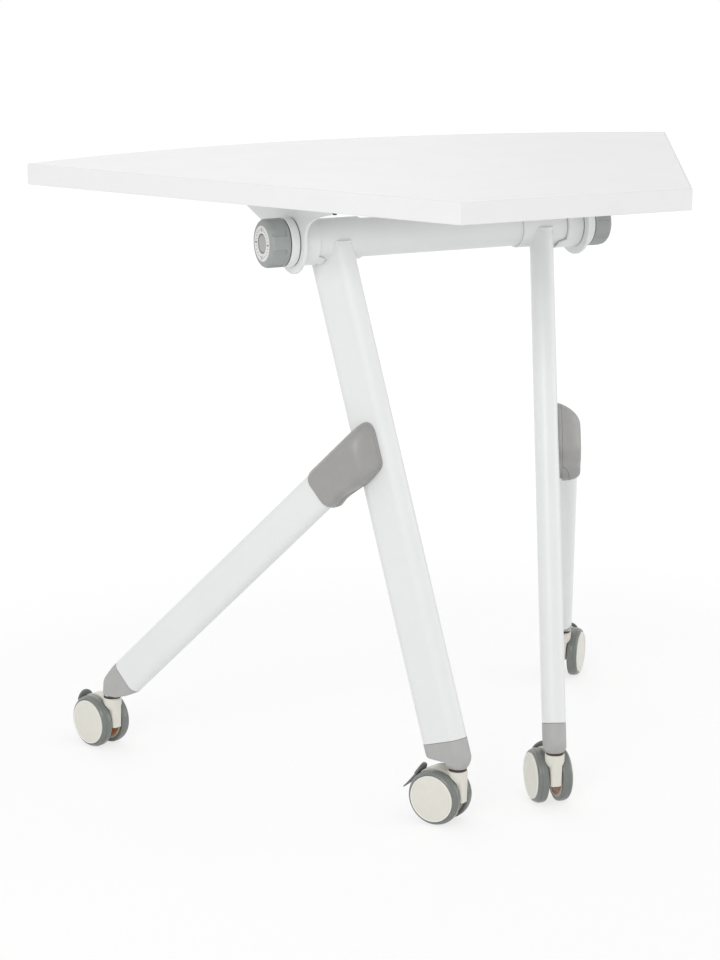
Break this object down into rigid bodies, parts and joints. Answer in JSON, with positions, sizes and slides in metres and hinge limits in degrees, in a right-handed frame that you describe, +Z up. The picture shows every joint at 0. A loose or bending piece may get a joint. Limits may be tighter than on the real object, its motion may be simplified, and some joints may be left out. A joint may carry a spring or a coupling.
{
  "type": "flip top training table",
  "caption": "Fan shaped flip top training table for one seat: white top tipping on a round beam, splayed Y legs of oval tube, twin wheel casters with brake pedals.",
  "frame": {"origin": "on the floor under the middle of the table's box", "axes": "+X along the beam, to the right seen from the short edge; +Y towards the arched long edge; +Z up"},
  "size_m": [0.871, 0.6144, 0.74],
  "materials": {
    "laminate": "matt white laminate on board",
    "edging": "matt",
    "enamel": "satin white powder coat",
    "steel": "zinc plated",
    "cap_plastic": "fine grained",
    "cover_plastic": "fine grained",
    "knob_plastic": "fine grained",
    "tyre_rubber": "satin",
    "caster_nylon": "satin",
    "pedal_plastic": "satin"
  },
  "bodies": {
    "frame": {"beam_tube": "enamel", "tie_rod": "steel", "left_leg_sleeve": "enamel", "left_beam_bush": "pedal_plastic", "left_main_leg": "enamel", "left_rear_leg": "enamel", "left_joint_cover": "cover_plastic", "left_joint_base": "cover_plastic", "left_front_foot_cap": "cap_plastic", "left_rear_foot_cap": "cap_plastic", "right_leg_sleeve": "enamel", "right_beam_bush": "pedal_plastic", "right_main_leg": "enamel", "right_rear_leg": "enamel", "right_joint_cover": "cover_plastic", "right_joint_base": "cover_plastic", "right_front_foot_cap": "cap_plastic", "right_rear_foot_cap": "cap_plastic", "front_left_caster_stem": "steel", "front_right_caster_stem": "steel", "rear_left_caster_stem": "steel", "rear_right_caster_stem": "steel"},
    "tabletop": {"top_board": "laminate", "edge_band": "edging", "left_flip_plate": "enamel", "left_flip_collar": "enamel", "left_boss_ring": "enamel", "right_flip_plate": "enamel", "right_flip_collar": "enamel", "right_boss_ring": "enamel"},
    "left_knob": {"left_clamp_knob": "knob_plastic"},
    "right_knob": {"right_clamp_knob": "knob_plastic"},
    "front_left_caster": {"front_left_caster_housing": "caster_nylon", "front_left_caster_axle": "steel"},
    "front_left_wheel_a": {"front_left_tyre_a": "tyre_rubber", "front_left_hub_a": "caster_nylon"},
    "front_left_wheel_b": {"front_left_tyre_b": "tyre_rubber", "front_left_hub_b": "caster_nylon"},
    "front_left_brake": {"front_left_brake_pedal": "pedal_plastic"},
    "front_right_caster": {"front_right_caster_housing": "caster_nylon", "front_right_caster_axle": "steel"},
    "front_right_wheel_a": {"front_right_tyre_a": "tyre_rubber", "front_right_hub_a": "caster_nylon"},
    "front_right_wheel_b": {"front_right_tyre_b": "tyre_rubber", "front_right_hub_b": "caster_nylon"},
    "front_right_brake": {"front_right_brake_pedal": "pedal_plastic"},
    "rear_left_caster": {"rear_left_caster_housing": "caster_nylon", "rear_left_caster_axle": "steel"},
    "rear_left_wheel_a": {"rear_left_tyre_a": "tyre_rubber", "rear_left_hub_a": "caster_nylon"},
    "rear_left_wheel_b": {"rear_left_tyre_b": "tyre_rubber", "rear_left_hub_b": "caster_nylon"},
    "rear_left_brake": {"rear_left_brake_pedal": "pedal_plastic"},
    "rear_right_caster": {"rear_right_caster_housing": "caster_nylon", "rear_right_caster_axle": "steel"},
    "rear_right_wheel_a": {"rear_right_tyre_a": "tyre_rubber", "rear_right_hub_a": "caster_nylon"},
    "rear_right_wheel_b": {"rear_right_tyre_b": "tyre_rubber", "rear_right_hub_b": "caster_nylon"},
    "rear_right_brake": {"rear_right_brake_pedal": "pedal_plastic"}
  },
  "joints": [
    {"name": "top_flip", "type": "hinge", "parent": "frame", "child": "tabletop", "pos_m": [0, 0.01027, 0.6595], "axis": [-1, 0, 0], "range_deg": [0, 90]},
    {"name": "left_knob_turn", "type": "hinge", "parent": "frame", "child": "left_knob", "pos_m": [-0.212, 0.01027, 0.6595], "axis": [-1, 0, 0], "range_deg": [0, 180]},
    {"name": "right_knob_turn", "type": "hinge", "parent": "frame", "child": "right_knob", "pos_m": [0.212, 0.01027, 0.6595], "axis": [1, 0, 0], "range_deg": [0, 180]},
    {"name": "front_left_swivel", "type": "hinge", "parent": "frame", "child": "front_left_caster", "pos_m": [-0.0647, -0.17633, 0.066], "axis": [0, 0, 1], "continuous": true},
    {"name": "front_left_roll_a", "type": "hinge", "parent": "front_left_caster", "child": "front_left_wheel_a", "pos_m": [-0.07662, -0.15725, 0.0325], "axis": [-0.848, -0.5299, 0], "continuous": true},
    {"name": "front_left_roll_b", "type": "hinge", "parent": "front_left_caster", "child": "front_left_wheel_b", "pos_m": [-0.07662, -0.15725, 0.0325], "axis": [-0.848, -0.5299, 0], "continuous": true},
    {"name": "front_left_brake_press", "type": "hinge", "parent": "front_left_caster", "child": "front_left_brake", "pos_m": [-0.08749, -0.13987, 0.0455], "axis": [-0.848, -0.5299, 0], "range_deg": [0, 24]},
    {"name": "front_right_swivel", "type": "hinge", "parent": "frame", "child": "front_right_caster", "pos_m": [0.0647, -0.17633, 0.066], "axis": [0, 0, 1], "continuous": true},
    {"name": "front_right_roll_a", "type": "hinge", "parent": "front_right_caster", "child": "front_right_wheel_a", "pos_m": [0.06938, -0.15432, 0.0325], "axis": [-0.9781, 0.2079, 0], "continuous": true},
    {"name": "front_right_roll_b", "type": "hinge", "parent": "front_right_caster", "child": "front_right_wheel_b", "pos_m": [0.06938, -0.15432, 0.0325], "axis": [-0.9781, 0.2079, 0], "continuous": true},
    {"name": "front_right_brake_press", "type": "hinge", "parent": "front_right_caster", "child": "front_right_brake", "pos_m": [0.07364, -0.13427, 0.0455], "axis": [-0.9781, 0.2079, 0], "range_deg": [0, 24]},
    {"name": "rear_left_swivel", "type": "hinge", "parent": "frame", "child": "rear_left_caster", "pos_m": [-0.32549, 0.24465, 0.066], "axis": [0, 0, 1], "continuous": true},
    {"name": "rear_left_roll_a", "type": "hinge", "parent": "rear_left_caster", "child": "rear_left_wheel_a", "pos_m": [-0.33262, 0.26599, 0.0325], "axis": [-0.9483, -0.3173, 0], "continuous": true},
    {"name": "rear_left_roll_b", "type": "hinge", "parent": "rear_left_caster", "child": "rear_left_wheel_b", "pos_m": [-0.33262, 0.26599, 0.0325], "axis": [-0.9483, -0.3173, 0], "continuous": true},
    {"name": "rear_left_brake_press", "type": "hinge", "parent": "rear_left_caster", "child": "rear_left_brake", "pos_m": [-0.33913, 0.28543, 0.0455], "axis": [-0.9483, -0.3173, 0], "range_deg": [-24, 0]},
    {"name": "rear_right_swivel", "type": "hinge", "parent": "frame", "child": "rear_right_caster", "pos_m": [0.32549, 0.24465, 0.066], "axis": [0, 0, 1], "continuous": true},
    {"name": "rear_right_roll_a", "type": "hinge", "parent": "rear_right_caster", "child": "rear_right_wheel_a", "pos_m": [0.34083, 0.26111, 0.0325], "axis": [-0.7314, 0.682, 0], "continuous": true},
    {"name": "rear_right_roll_b", "type": "hinge", "parent": "rear_right_caster", "child": "rear_right_wheel_b", "pos_m": [0.34083, 0.26111, 0.0325], "axis": [-0.7314, 0.682, 0], "continuous": true},
    {"name": "rear_right_brake_press", "type": "hinge", "parent": "rear_right_caster", "child": "rear_right_brake", "pos_m": [0.35481, 0.2761, 0.0455], "axis": [-0.7314, 0.682, 0], "range_deg": [-24, 0]}
  ]
}
